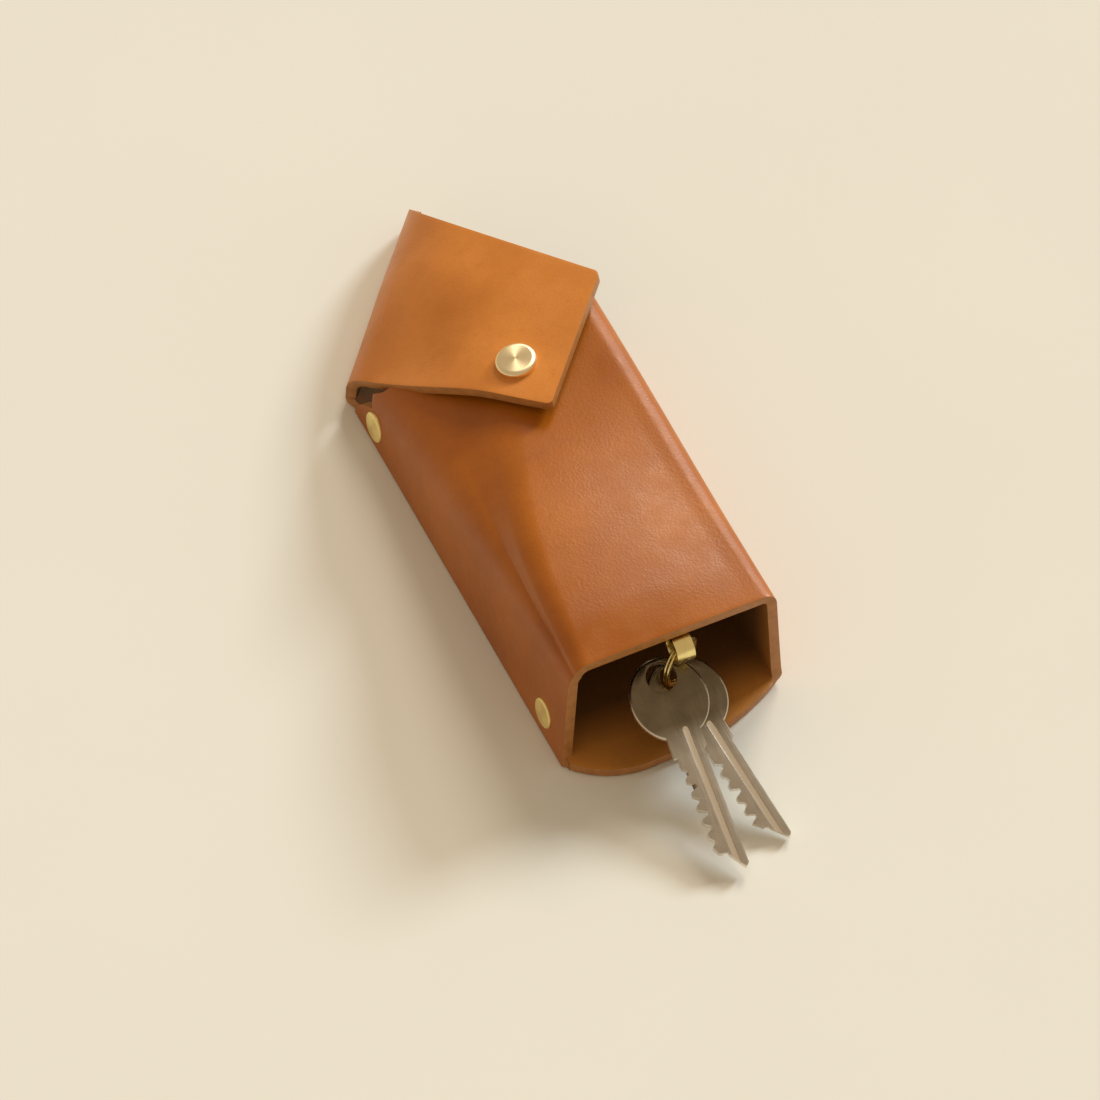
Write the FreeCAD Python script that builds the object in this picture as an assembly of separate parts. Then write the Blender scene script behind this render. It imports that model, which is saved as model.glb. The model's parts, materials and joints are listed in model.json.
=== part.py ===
import FreeCAD, Part
import math
import os

# Leather key case, millimetres. X across, Y along the tube away from the mouth, Z up.
# The origin is the middle of the mouth on the back panel's rest face.

# Driving dimensions: leather case
leather = 2.6
case_width = 58.0
mouth_height = 31.6
tube_length = 106.0
side_inset = 3.7
rest_trim = 0.4
lap_gap = 0.3
lip_height = 14.0
lip_setback = 8.0
lip_end_back = 2.0
foot_reach = 1.2
mouth_back = 2.2
tongue_reach = 10.6
tongue_left_reach = 3.0
tongue_low_x = -7.5
tongue_bulge = 2.8
wall_tail = 8.0
notch_reach = 0.8
notch_height = 9.0
notch_tip_reach = 4.5
notch_tip_height = 11.6
notch_top_height = 14.5
inner_radius = 1.6
least_radius = 0.5

# Tube sections: y, shoulder drop, crest shift, crest drop, right drop, then shoulder and crest radii
right_radius = 5.0
sections = [
    (-foot_reach, 3.0, 3.0, 0.0, 0.0, 4.6, 4.6),
    (40.0, 6.0, 8.0, 0.5, 0.2, 8.0, 10.0),
    (80.0, 12.0, 20.0, 2.4, 0.4, 14.0, 22.0),
    (tube_length, 16.6, 28.5, 4.2, 0.6, 15.0, 26.0),
]

# Driving dimensions: flap and its fold line
fold_left_side = 0.5
fold_left_reach = 11.3
fold_right_inset = 22.0
fold_right_reach = 51.8
panel_right_reach = 29.5
fold_gap = 0.3
flap_leg = 6.44
fold_radii = (15.0, 56.0, 80.0)
fold_turns = (48.0, 20.0, 12.0)
flap_reach = 53.3
flap_left_start = 0.6
flap_left_end = -11.6
flap_right_start = 54.0
flap_right_bends = ((5.0, 46.2), (12.0, 41.0), (30.9, 33.3))
flap_right_end = 28.7
flap_corner = 2.0

# Driving dimensions: press stud
snap_reach = 42.0
snap_along = -0.97
cap_radius = 5.0
cap_height = 1.9
cap_edge = 1.1
shank_radius = 1.4
hole_gap = 0.3
socket_radius = 4.3
socket_height = 1.3
socket_web = 0.4
bore_radius = 2.9
spring_thickness = 0.4
spring_side_gap = 0.05
spring_height = 0.4
spring_mouth = 50.0
snap_gap = 0.3
stud_radius = 4.2
stud_flange = 0.6
stud_head_radius = 1.6
stud_head_height = 1.1
seat_depth = 0.5
seat_gap = 0.3
post_radius = 3.4
post_height = 0.8

# Driving dimensions: rivets
rivet_radius = 3.85
rivet_height = 0.9
rivet_edge = 0.5
rivet_back_radius = 3.4
rivet_seat = 0.25
lower_rivet = (10.2, 6.7)
upper_rivet_back = 2.4
upper_rivet = (tube_length - upper_rivet_back, 5.4)

# Driving dimensions: key hanger
strip_width = 4.6
strip_thickness = 1.0
pad_radius = 3.8
pad_thickness = 2.5
strip_drop = 0.9
eye_side = 1.3
eye_back = 2.4
eye_drop = 7.0
eye_radius = 3.9
eye_wall = 0.95

# Driving dimensions: split ring
ring_radius = 6.0
ring_turn = 30.0
ring_drop = 5.8
coil_width = 0.42
coil_depth = 1.1
coil_gap = 0.43
coil_turns = 1.95
coil_points = 72

# Driving dimensions: keys
key_thickness = 2.0
bow_half_width = 9.5
bow_half_length = 10.5
bow_drop = 5.5
bow_bevel = 0.45
key_hole_radius = 3.7
stem_half_width = 4.3
stem_length = 4.0
blade_half_width = 3.4
tip_bevel = 0.8
tip_slope_drop = 4.6
tip_left = -0.6
cut_pitch = 3.6
cut_half_width = 1.25
cut_flat = 0.35
cut_first = 4.2
groove_depth = 0.55
groove_width = 1.5
groove_offset = 0.9
back_groove_width = 1.2
back_groove_offset = -0.8
key_tilt = 18.2
key_spacing = 2.6
key_1_side = -6.2
key_1_front = 2.4
key_2_side = -2.3
key_2_front = 2.1
key_2_drop = 9.0
key_1_turn = -3.4
key_2_turn = 7.9
key_1_blade = 34.3
key_2_blade = 31.0
key_1_cuts = (1.1, 1.9, 1.3, 2.2, 1.5, 0.9)
key_2_cuts = (1.6, 0.9, 2.0, 1.2, 1.8)

Vector = FreeCAD.Vector
half_width = case_width / 2
wall_lean = side_inset / mouth_height
wall_slope = math.hypot(1.0, wall_lean)


def wall_x(height, depth=0.0):
    """X of the left wall at a height, a depth inside its outer face."""
    return -half_width + height * wall_lean + depth * wall_slope


def unit(vector):
    return vector / vector.Length


def placed(shape, origin, z_axis, x_axis):
    """Copy a shape drawn about Z at zero to an origin with the given axes."""
    z_axis = unit(z_axis)
    y_axis = unit(z_axis.cross(x_axis))
    x_axis = y_axis.cross(z_axis)
    matrix = FreeCAD.Matrix(
        x_axis.x, y_axis.x, z_axis.x, origin.x,
        x_axis.y, y_axis.y, z_axis.y, origin.y,
        x_axis.z, y_axis.z, z_axis.z, origin.z,
        0, 0, 0, 1)
    moved = shape.copy()
    moved.Placement = FreeCAD.Placement(matrix)
    return moved


def rounded_wire(points, radii, to_space):
    """Closed wire through corner points, each corner rounded by its radius."""
    count = len(points)
    starts = []
    middles = []
    ends = []
    for index, corner in enumerate(points):
        before = points[index - 1]
        after = points[(index + 1) % count]
        back = unit(Vector(before[0] - corner[0], before[1] - corner[1], 0))
        ahead = unit(Vector(after[0] - corner[0], after[1] - corner[1], 0))
        half = back.getAngle(ahead) / 2
        reach = radii[index] / math.tan(half)
        here = Vector(corner[0], corner[1], 0)
        inward = unit(back + ahead)
        starts.append(here + back * reach)
        ends.append(here + ahead * reach)
        middles.append(here + inward * (radii[index] / math.sin(half) - radii[index]))
    edges = []
    for index in range(count):
        arc = [to_space(starts[index]), to_space(middles[index]), to_space(ends[index])]
        edges.append(Part.Arc(*arc).toShape())
        following = starts[(index + 1) % count]
        edges.append(Part.makeLine(to_space(ends[index]), to_space(following)))
    return Part.Wire(edges)


def inset_polygon(points, distances):
    """Move every side of a counter-clockwise polygon inward by its distance."""
    count = len(points)
    sides = []
    for index in range(count):
        start = Vector(points[index][0], points[index][1], 0)
        after = points[(index + 1) % count]
        along = unit(Vector(after[0], after[1], 0) - start)
        inward = Vector(-along.y, along.x, 0)
        sides.append((start + inward * distances[index], along))
    corners = []
    for index in range(count):
        base, along = sides[index - 1]
        other, across = sides[index]
        gap = other - base
        cross = along.x * across.y - along.y * across.x
        travel = (gap.x * across.y - gap.y * across.x) / cross
        meet = base + along * travel
        corners.append((meet.x, meet.y))
    return corners


def tube_section(row):
    """Corner points and radii of the tube's outer section at one station."""
    y, shoulder_drop, crest_shift, crest_drop, right_drop, shoulder_r, crest_r = row
    shoulder_z = mouth_height - shoulder_drop
    points = [
        (wall_x(-rest_trim), -rest_trim),
        (half_width, -rest_trim),
        (half_width, mouth_height - right_drop),
        (wall_x(mouth_height) + crest_shift, mouth_height - crest_drop),
        (wall_x(shoulder_z), shoulder_z),
    ]
    radii = [leather, leather, right_radius, crest_r, shoulder_r]
    return y, points, radii


def tube_loft(inside):
    """Loft of the tube's outer form, or of the space inside it.

    The first section is the mouth, which leans back with height.
    """
    wires = []
    for row in sections:
        y, points, radii = tube_section(row)
        lean = (mouth_back + foot_reach) / mouth_height if row is sections[0] else 0.0
        if inside:
            points = inset_polygon(points, [leather + rest_trim] + [leather] * 4)
            radii = [max(radius - leather, inner_radius) for radius in radii]
        wires.append(rounded_wire(
            points, radii, lambda p, at=y, back=lean: Vector(p.x, at + back * p.y, p.y)))
    return Part.makeLoft(wires, True, True)


def plan_prism(edges, low, high):
    """Prism on Z over a closed plan of edges drawn at height zero."""
    face = Part.Face(Part.Wire(edges))
    face.translate(Vector(0, 0, low))
    return face.extrude(Vector(0, 0, high - low))


def polygon_edges(points):
    closed = list(points) + [points[0]]
    return [Part.makeLine(a, b) for a, b in zip(closed, closed[1:])]


fold_start = Vector(-half_width - fold_left_side, tube_length + fold_left_reach, 0)
fold_end = Vector(half_width - fold_right_inset, tube_length + fold_right_reach, 0)
fold_along = unit(fold_end - fold_start)
fold_inward = Vector(fold_along.y, -fold_along.x, 0)
hinge_point = fold_start + fold_inward * (leather / 2) + Vector(0, 0, leather / 2)


def on_flap(reach, along, height=0.0):
    """Point at a reach from the hinge axis, along the fold and above the table."""
    base = hinge_point + fold_inward * reach + fold_along * along
    return Vector(base.x, base.y, height)


def fold_curve(offset):
    """Points and headings of the flap profile, an offset inside its outer face."""
    reach = -leather / 2 + offset
    height = flap_leg
    heading = math.radians(90.0)
    rows = []
    for radius, turn in zip(fold_radii, fold_turns):
        inner = radius - offset
        middle = heading - math.radians(turn / 2)
        after = heading - math.radians(turn)
        mid_point = (reach + inner * (math.sin(heading) - math.sin(middle)),
                     height + inner * (math.cos(middle) - math.cos(heading)))
        end_point = (reach + inner * (math.sin(heading) - math.sin(after)),
                     height + inner * (math.cos(after) - math.cos(heading)))
        rows.append(((reach, height), mid_point, end_point))
        reach, height = end_point
        heading = after
    return rows, heading


def fold_edges(offset, reach):
    """Edges of one face of the flap from its leg to a reach, in the fold plane."""
    rows, heading = fold_curve(offset)
    edges = []
    for start, middle, end in rows:
        edges.append(Part.Arc(on_flap(start[0], 0, start[1]), on_flap(middle[0], 0, middle[1]),
                              on_flap(end[0], 0, end[1])).toShape())
    last = rows[-1][2]
    tip = (reach, last[1] + (reach - last[0]) * math.tan(heading))
    edges.append(Part.makeLine(on_flap(last[0], 0, last[1]), on_flap(tip[0], 0, tip[1])))
    return edges, tip


def snap_frame():
    """Point on the flap's inner face at the stud, and the stud's axis."""
    rows, heading = fold_curve(leather)
    last = rows[-1][2]
    height = last[1] + (snap_reach - last[0]) * math.tan(heading)
    axis = Vector(0, 0, math.cos(heading)) - fold_inward * math.sin(heading)
    return on_flap(snap_reach, snap_along, height), axis


snap_point, snap_axis = snap_frame()
stud_base = snap_point - snap_axis * (socket_height + snap_gap + stud_flange)
hang_base = stud_base - snap_axis * (leather - seat_depth - seat_depth)
eye = Vector(hang_base.x + eye_side, eye_back, mouth_height - eye_drop)


def rod(radius, start, axis, length):
    return Part.makeCylinder(radius, length, start, axis)


def button(radius, height, edge):
    """Flat round head with a bevelled upper edge, drawn on Z from zero."""
    disc = Part.makeCylinder(radius, height)
    rim = [e for e in disc.Edges if abs(e.CenterOfMass.z - height) < least_radius
           and len(e.Vertexes) == 1]
    return disc.makeChamfer(edge, rim[:1])


def rivet_frame(spot):
    """Point on the wall's outer face and the outward direction there."""
    y, z = spot
    return Vector(wall_x(z), y, z), unit(Vector(-1, 0, wall_lean))


def make_case_body():
    """Leather tube, seam lip, tongue, wall tail and the panel up to the fold line."""
    body = tube_loft(False).cut(tube_loft(True))
    below = Part.makeBox(3 * case_width, 3 * tube_length, mouth_height,
                         Vector(-1.5 * case_width, -tube_length, -mouth_height))
    body = body.cut(below)

    lip_depths = (leather + lap_gap, 2 * leather + lap_gap)
    lip_end = tube_length - lip_end_back
    lip_points = [Vector(wall_x(0, lip_depths[0]), lip_setback, 0),
                  Vector(wall_x(0, lip_depths[1]), lip_setback, 0),
                  Vector(wall_x(lip_height, lip_depths[1]), lip_setback, lip_height),
                  Vector(wall_x(lip_height, lip_depths[0]), lip_setback, lip_height)]
    lip = Part.Face(Part.Wire(polygon_edges(lip_points)))
    lip = lip.extrude(Vector(0, lip_end - lip_setback, 0))
    body = body.fuse(lip)

    tail_x = wall_x(0, leather + lap_gap)
    side = leather / 2
    left = Vector(wall_x(0) + side, leather, 0)
    corner = Vector(left.x, -tongue_left_reach, 0)
    low = Vector(tongue_low_x, -tongue_reach, 0)
    right = Vector(half_width - side, -foot_reach, 0)
    back = Vector(right.x, leather, 0)
    bulge = Vector(0, -tongue_bulge, 0)
    tongue = plan_prism([Part.makeLine(left, corner),
                         Part.Arc(corner, (corner + low) / 2 + bulge, low).toShape(),
                         Part.Arc(low, (low + right) / 2 + bulge, right).toShape(),
                         Part.makeLine(right, back),
                         Part.makeLine(back, left)], 0, leather)

    panel_stop = leather / 2 + fold_gap
    fold_low = on_flap(panel_stop, flap_left_start)
    fold_high = on_flap(panel_stop, flap_right_start)
    travel = (tail_x - fold_low.x) / fold_along.x
    meet = fold_low + fold_along * max(travel, 0.0)
    panel = plan_prism(polygon_edges([
        Vector(tail_x, tube_length, 0),
        Vector(half_width - leather, tube_length, 0),
        Vector(half_width - leather, tube_length + panel_right_reach, 0),
        fold_high,
        meet]), 0, leather)
    body = body.fuse([tongue, panel])

    def tail_point(reach, height):
        return Vector(wall_x(height), tube_length + reach, height)

    tail = Part.Face(Part.Wire(polygon_edges([
        tail_point(0, 0), tail_point(wall_tail, 0), tail_point(notch_reach, notch_height),
        tail_point(notch_tip_reach, notch_tip_height), tail_point(0, notch_top_height)])))
    tail = tail.extrude(Vector(1, 0, -wall_lean) * (leather / wall_slope))
    body = body.fuse(tail.cut(below))

    ahead = -2 * tongue_reach
    slit_points = [Vector(wall_x(-leather, leather), ahead, -leather),
                   Vector(wall_x(-leather, leather + lap_gap), ahead, -leather),
                   Vector(wall_x(lip_height, leather + lap_gap), ahead, lip_height),
                   Vector(wall_x(lip_height, leather), ahead, lip_height)]
    slit = Part.Face(Part.Wire(polygon_edges(slit_points)))
    slit = slit.extrude(Vector(0, tube_length + leather - ahead, 0))
    body = body.cut(slit)

    cuts = []
    for spot in (lower_rivet, upper_rivet):
        point, outward = rivet_frame(spot)
        depth = 2 * leather + lap_gap
        cuts.append(rod(shank_radius + hole_gap, point + outward, -outward, depth + 2))
        cuts.append(rod(rivet_radius + seat_gap, point + outward, -outward, 1 + rivet_seat))
        cuts.append(rod(rivet_back_radius + seat_gap, point - outward * (depth + leather),
                        outward, leather + rivet_seat))
    through = 4 * leather
    cuts.append(rod(shank_radius + hole_gap, stud_base + snap_axis * leather, -snap_axis, through))
    cuts.append(rod(stud_radius + seat_gap, stud_base, snap_axis, leather))
    cuts.append(rod(pad_radius + seat_gap, hang_base, -snap_axis, leather))
    for cut in cuts:
        body = body.cut(cut)
    return body.removeSplitter()


def make_flap():
    """Leather flap rising from the fold line and arching over the tube's far end."""
    outer, outer_tip = fold_edges(0.0, flap_reach)
    inner, inner_tip = fold_edges(leather, flap_reach)
    edges = outer + inner
    edges.append(Part.makeLine(on_flap(flap_reach, 0, outer_tip[1]),
                               on_flap(flap_reach, 0, inner_tip[1])))
    half = leather / 2
    edges.append(Part.makeLine(on_flap(-half, 0, half), on_flap(-half, 0, flap_leg)))
    edges.append(Part.makeLine(on_flap(half, 0, half), on_flap(half, 0, flap_leg)))
    edges.append(Part.Arc(on_flap(-half, 0, half), on_flap(0, 0, 0),
                          on_flap(half, 0, half)).toShape())
    profile = Part.Face(Part.Wire(Part.__sortEdges__(edges)))
    low = flap_left_end - leather
    profile.translate(fold_along * low)
    band = profile.extrude(fold_along * (flap_right_start + leather - low))

    root = -leather
    outside = -half - fold_gap
    bends = [on_flap(reach, along) for reach, along in flap_right_bends]
    outline = [Part.makeLine(on_flap(root, flap_right_start), on_flap(root, flap_left_start)),
               Part.makeLine(on_flap(root, flap_left_start), on_flap(half, flap_left_start)),
               Part.makeLine(on_flap(half, flap_left_start), on_flap(flap_reach, flap_left_end)),
               Part.makeLine(on_flap(flap_reach, flap_left_end),
                             on_flap(flap_reach, flap_right_end)),
               Part.Arc(on_flap(flap_reach, flap_right_end), bends[2], bends[1]).toShape(),
               Part.Arc(bends[1], bends[0], on_flap(outside, flap_right_start)).toShape(),
               Part.makeLine(on_flap(outside, flap_right_start), on_flap(root, flap_right_start))]
    trim = plan_prism(outline, -leather, 2 * mouth_height)
    corners = [e for e in trim.Edges if len(e.Vertexes) == 2
               and abs(e.Vertexes[0].Point.x - e.Vertexes[1].Point.x) < least_radius
               and abs(e.Vertexes[0].Point.y - e.Vertexes[1].Point.y) < least_radius
               and (e.CenterOfMass - hinge_point).dot(fold_inward) > flap_reach - flap_corner]
    trim = trim.makeFillet(flap_corner, corners)
    flap = band.common(trim)
    flap = flap.cut(rod(shank_radius + hole_gap, snap_point - snap_axis * leather, snap_axis,
                        3 * leather))
    return flap.removeSplitter()


def make_snap_cap():
    """Cap on the flap with its shank through the leather."""
    outer_face = snap_point + snap_axis * leather
    cap = placed(button(cap_radius, cap_height, cap_edge), outer_face, snap_axis, fold_along)
    return cap.fuse(rod(shank_radius, snap_point, snap_axis, leather)).removeSplitter()


def make_snap_socket():
    """Socket under the flap, open below for the stud."""
    low = snap_point - snap_axis * socket_height
    socket = rod(socket_radius, low, snap_axis, socket_height)
    return socket.cut(rod(bore_radius, low, snap_axis, socket_height - socket_web))


def make_snap_spring():
    """Open spring ring against the socket's web."""
    low = snap_point - snap_axis * (socket_web + spring_height)
    outer = bore_radius - spring_side_gap
    ring = rod(outer, low, snap_axis, spring_height)
    ring = ring.cut(rod(outer - spring_thickness, low, snap_axis, spring_height))
    reach = 2 * bore_radius
    half = math.radians(spring_mouth / 2)
    across = snap_axis.cross(fold_along)
    wedge = [low, low + (fold_along * math.cos(half) + across * math.sin(half)) * reach,
             low + (fold_along * math.cos(half) - across * math.sin(half)) * reach]
    gap = Part.Face(Part.Wire(polygon_edges(wedge))).extrude(snap_axis * spring_height)
    return ring.cut(gap)


def make_snap_stud():
    """Stud on the top panel: flange in its seat and a rounded head."""
    flange = rod(stud_radius, stud_base, snap_axis, stud_flange)
    head = button(stud_head_radius, stud_flange + stud_head_height, stud_head_radius / 2)
    head = placed(head, stud_base, snap_axis, fold_along)
    return flange.fuse(head).removeSplitter()


def make_snap_post():
    """Inner half of the stud: head below the hanger strip and the shank up to the stud."""
    head_top = hang_base - snap_axis * pad_thickness
    head = button(post_radius, post_height, post_height / 2)
    head = placed(head, head_top, -snap_axis, fold_along)
    length = (stud_base - head_top).dot(snap_axis)
    return head.fuse(rod(shank_radius, head_top, snap_axis, length)).removeSplitter()


def make_rivet(spot):
    """Outer cap and inner post of one rivet through the wall and the lip."""
    point, outward = rivet_frame(spot)
    face = point - outward * rivet_seat
    cap = placed(button(rivet_radius, rivet_height, rivet_edge), face, outward, Vector(0, 1, 0))
    back = point - outward * (2 * leather + lap_gap - rivet_seat)
    head = button(rivet_back_radius, rivet_height, rivet_edge)
    head = placed(head, back, -outward, Vector(0, 1, 0))
    length = (face - back).dot(outward)
    return cap, head.fuse(rod(shank_radius, back, outward, length)).removeSplitter()


def make_key_hanger():
    """Brass strip from the stud's post to a rolled eye at the mouth."""
    far = hang_base - Vector(0, 0, strip_drop)
    along = unit(Vector(0, far.y - eye.y, far.z - eye.z - eye_radius))
    up = Vector(1, 0, 0).cross(along)
    far_top = eye + up * eye_radius + along * (far - eye).dot(along)
    lower = eye_radius - strip_thickness
    join = eye + up * lower + along * math.sqrt(eye_radius ** 2 - lower ** 2)
    outline = [Part.makeLine(eye + up * eye_radius, far_top),
               Part.makeLine(far_top, far_top - up * strip_thickness),
               Part.makeLine(far_top - up * strip_thickness, join),
               Part.Arc(join, eye - up * eye_radius, eye + up * eye_radius).toShape()]
    strip = Part.Face(Part.Wire(outline))
    strip.translate(Vector(-strip_width / 2, 0, 0))
    strip = strip.extrude(Vector(strip_width, 0, 0))
    pad = rod(pad_radius, hang_base, -snap_axis, pad_thickness)
    bore = rod(eye_radius - eye_wall, eye - Vector(strip_width, 0, 0), Vector(1, 0, 0),
               2 * strip_width)
    hole = rod(shank_radius + hole_gap, hang_base + snap_axis * leather, -snap_axis, 3 * leather)
    return strip.cut(bore).fuse(pad).cut(hole)


def make_split_ring():
    """Flat-wire coil of almost two turns, its plane turned from X."""
    pitch = coil_width + coil_gap
    height = pitch * coil_turns
    path = Part.makeHelix(pitch, height, ring_radius)
    corner = [(ring_radius - coil_depth / 2, -coil_width / 2),
              (ring_radius + coil_depth / 2, -coil_width / 2),
              (ring_radius + coil_depth / 2, coil_width / 2),
              (ring_radius - coil_depth / 2, coil_width / 2)]
    profile = Part.Wire(polygon_edges([Vector(x, 0, z) for x, z in corner]))
    coil = Part.Wire(path).makePipeShell([profile], True, True)
    turn = math.radians(ring_turn)
    axis = Vector(math.sin(turn), -math.cos(turn), 0)
    centre = eye - Vector(0, 0, ring_drop)
    return placed(coil, centre - axis * (height / 2), axis, Vector(0, 0, -1))


def coil_clearance():
    """Least gap between neighbouring turns of the coil, measured on points of its wire."""
    pitch = coil_width + coil_gap
    steps = int(coil_points * coil_turns)
    turns = [index / coil_points for index in range(steps + 1)]
    line = [Vector(ring_radius * math.cos(2 * math.pi * t), ring_radius * math.sin(2 * math.pi * t),
                   pitch * t) for t in turns]
    apart = [(a - b).Length for i, a in enumerate(line) for b in line[i + coil_points // 2:]]
    return min(apart) - coil_width


def make_key(blade_length, cut_depths):
    """Key in its own plane: hole at zero, blade along -Y, bitting on the left."""
    half = key_thickness / 2
    centre = Vector(0, -bow_drop, 0)
    ellipse = Part.Ellipse(centre + Vector(0, bow_half_length, 0),
                           centre + Vector(bow_half_width, 0, 0), centre)
    bow = Part.Face(Part.Wire(ellipse.toShape()))
    bow.translate(Vector(0, 0, -half))
    bow = bow.extrude(Vector(0, 0, key_thickness))
    rims = [e for e in bow.Edges if abs(abs(e.CenterOfMass.z) - half) < least_radius]
    bow = bow.makeChamfer(bow_bevel, rims)

    bow_end = -bow_drop - bow_half_length
    stem_top = bow_end + stem_half_width
    stem_low = bow_end - stem_length
    tip = bow_end - blade_length
    outline = [(stem_half_width, stem_top), (stem_half_width, stem_low + stem_half_width
                                             - blade_half_width),
               (blade_half_width, stem_low), (blade_half_width, tip + tip_bevel),
               (blade_half_width - tip_bevel, tip), (tip_left, tip + tip_slope_drop),
               (-blade_half_width + cut_depths[-1], tip + tip_slope_drop + cut_flat)]
    for index in reversed(range(len(cut_depths))):
        middle = stem_low - cut_first - index * cut_pitch
        inner = -blade_half_width + cut_depths[index]
        outline += [(-blade_half_width, middle - cut_half_width), (inner, middle - cut_flat),
                    (inner, middle + cut_flat), (-blade_half_width, middle + cut_half_width)]
    outline += [(-blade_half_width, stem_low), (-stem_half_width, stem_low),
                (-stem_half_width, stem_top)]
    blade = Part.Face(Part.Wire(polygon_edges([Vector(x, y, -half) for x, y in outline])))
    blade = blade.extrude(Vector(0, 0, key_thickness))
    key = bow.fuse(blade)
    groove_top = bow_end + stem_half_width / 2
    length = groove_top - tip + leather
    front = Part.makeBox(groove_width, length, key_thickness,
                         Vector(groove_offset - groove_width / 2, tip - leather,
                                half - groove_depth))
    back = Part.makeBox(back_groove_width, length, key_thickness,
                        Vector(back_groove_offset - back_groove_width / 2, tip - leather,
                               groove_depth - half - key_thickness))
    ends = [Part.makeCylinder(groove_width / 2, key_thickness,
                              Vector(groove_offset, groove_top, half - groove_depth)),
            Part.makeCylinder(back_groove_width / 2, key_thickness,
                              Vector(back_groove_offset, groove_top,
                                     groove_depth - half - key_thickness))]
    hole = Part.makeCylinder(key_hole_radius, 2 * key_thickness, Vector(0, 0, -key_thickness))
    return key.cut([front.fuse(ends[0]), back.fuse(ends[1]), hole])


def hang_key(key, hole, turn):
    """Turn a key in its plane, tilt it bow up and hang it by its hole."""
    key = key.copy()
    key.rotate(Vector(0, 0, 0), Vector(0, 0, 1), turn)
    key.rotate(Vector(0, 0, 0), Vector(1, 0, 0), key_tilt)
    key.translate(hole)
    return key


tilt = math.radians(key_tilt)
key_1_rise = (key_2_front - key_1_front) * math.tan(tilt) + key_spacing / math.cos(tilt)
key_1_hole = eye + Vector(key_1_side, -key_1_front, key_1_rise - key_2_drop)
key_2_hole = eye + Vector(key_2_side, -key_2_front, -key_2_drop)
lower_cap, lower_post = make_rivet(lower_rivet)
upper_cap, upper_post = make_rivet(upper_rivet)

nodes = {
    "case_body": make_case_body(),
    "flap": make_flap(),
    "snap_cap": make_snap_cap(),
    "snap_socket": make_snap_socket(),
    "snap_spring": make_snap_spring(),
    "snap_stud": make_snap_stud(),
    "snap_post": make_snap_post(),
    "lower_rivet_cap": lower_cap,
    "lower_rivet_post": lower_post,
    "upper_rivet_cap": upper_cap,
    "upper_rivet_post": upper_post,
    "key_hanger": make_key_hanger(),
    "split_ring": make_split_ring(),
    "key_1": hang_key(make_key(key_1_blade, key_1_cuts), key_1_hole, key_1_turn),
    "key_2": hang_key(make_key(key_2_blade, key_2_cuts), key_2_hole, key_2_turn),
}

os.makedirs("parts", exist_ok=True)
for name, shape in nodes.items():
    shape.exportStep("parts/" + name + ".step")
    print(name, len(shape.Solids), round(shape.Volume, 1), shape.isValid())
print("hinge", hinge_point, fold_along, "snap", snap_point, snap_axis, "stud", stud_base)
print("eye", eye, "holes", key_1_hole, key_2_hole)
print("coil gap", round(coil_clearance(), 3))
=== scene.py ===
import json
import math
from collections import namedtuple

import bmesh
import bpy
from mathutils import Matrix, Vector


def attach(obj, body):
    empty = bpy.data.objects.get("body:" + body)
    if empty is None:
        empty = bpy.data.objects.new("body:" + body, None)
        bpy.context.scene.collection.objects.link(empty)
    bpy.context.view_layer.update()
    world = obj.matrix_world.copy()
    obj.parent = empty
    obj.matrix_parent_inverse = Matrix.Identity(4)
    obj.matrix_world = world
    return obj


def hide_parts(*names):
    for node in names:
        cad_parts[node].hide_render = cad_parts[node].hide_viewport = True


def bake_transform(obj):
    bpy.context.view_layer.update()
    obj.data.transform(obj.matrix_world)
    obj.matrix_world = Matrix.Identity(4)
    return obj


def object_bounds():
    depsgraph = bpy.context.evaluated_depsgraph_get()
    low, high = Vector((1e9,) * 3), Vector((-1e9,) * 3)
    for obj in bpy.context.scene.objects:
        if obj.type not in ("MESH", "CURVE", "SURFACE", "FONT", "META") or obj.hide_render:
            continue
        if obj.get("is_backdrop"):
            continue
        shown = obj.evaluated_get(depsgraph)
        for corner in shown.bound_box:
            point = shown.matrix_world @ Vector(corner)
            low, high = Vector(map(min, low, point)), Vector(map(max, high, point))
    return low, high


bl_info = {
    "name": "Leather Key Case",
    "version": (1, 0, 0),
    "blender": (4, 5, 0),
    "location": "View3D > Sidebar > Key Case",
    "description": "Builds a tan leather key case with brass hardware and nickel keys",
    "category": "Object",
}

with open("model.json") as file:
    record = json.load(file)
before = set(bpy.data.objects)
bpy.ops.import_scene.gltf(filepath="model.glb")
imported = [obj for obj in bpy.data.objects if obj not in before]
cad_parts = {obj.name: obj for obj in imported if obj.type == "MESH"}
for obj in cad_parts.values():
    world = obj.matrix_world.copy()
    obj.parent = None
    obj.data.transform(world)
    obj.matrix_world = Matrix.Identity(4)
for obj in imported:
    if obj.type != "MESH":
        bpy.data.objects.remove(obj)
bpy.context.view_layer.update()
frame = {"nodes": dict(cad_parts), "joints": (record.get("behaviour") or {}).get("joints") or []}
MM = 0.001
JOINTS = {joint["name"]: joint for joint in frame["joints"]}


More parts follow.
